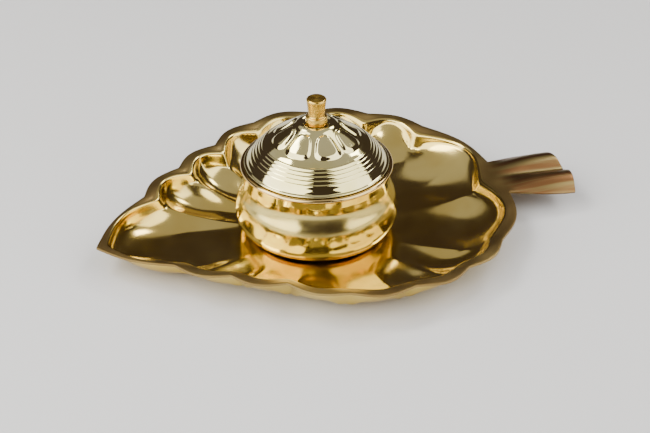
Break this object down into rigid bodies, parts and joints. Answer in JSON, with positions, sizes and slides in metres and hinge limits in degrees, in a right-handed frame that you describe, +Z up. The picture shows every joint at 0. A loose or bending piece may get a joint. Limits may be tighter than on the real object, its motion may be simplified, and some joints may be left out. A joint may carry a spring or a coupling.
{
  "type": "kumkum box",
  "caption": "Pot-bellied brass powder bowl with a lift-off petalled lid and turned knob, standing in a leaf-shaped scalloped tray with a fluted stalk.",
  "frame": {"origin": "on the table, under the middle of the bowl", "axes": "+X along the leaf's midrib from tip to stalk, +Z up, +Y completes a right-handed frame"},
  "size_m": [0.1852, 0.1366, 0.056],
  "materials": {
    "tray_brass": "polished, warmer and duller on the flange and stalk",
    "bowl_brass": "polished deep yellow",
    "lid_brass": "high polish, pale gold",
    "knob_brass": "turned, satin",
    "screw_steel": "plain"
  },
  "bodies": {
    "tray": {"leaf_tray": "tray_brass"},
    "bowl": {"bowl": "bowl_brass"},
    "lid": {"lid": "lid_brass", "knob": "knob_brass", "knob_screw": "screw_steel"}
  },
  "joints": [
    {"name": "bowl_lift", "type": "slide", "parent": "tray", "child": "bowl", "axis": [0, 0, 1], "range_m": [0, 0.04]},
    {"name": "lid_lift", "type": "slide", "parent": "bowl", "child": "lid", "axis": [0, 0, 1], "range_m": [0, 0.03]}
  ]
}
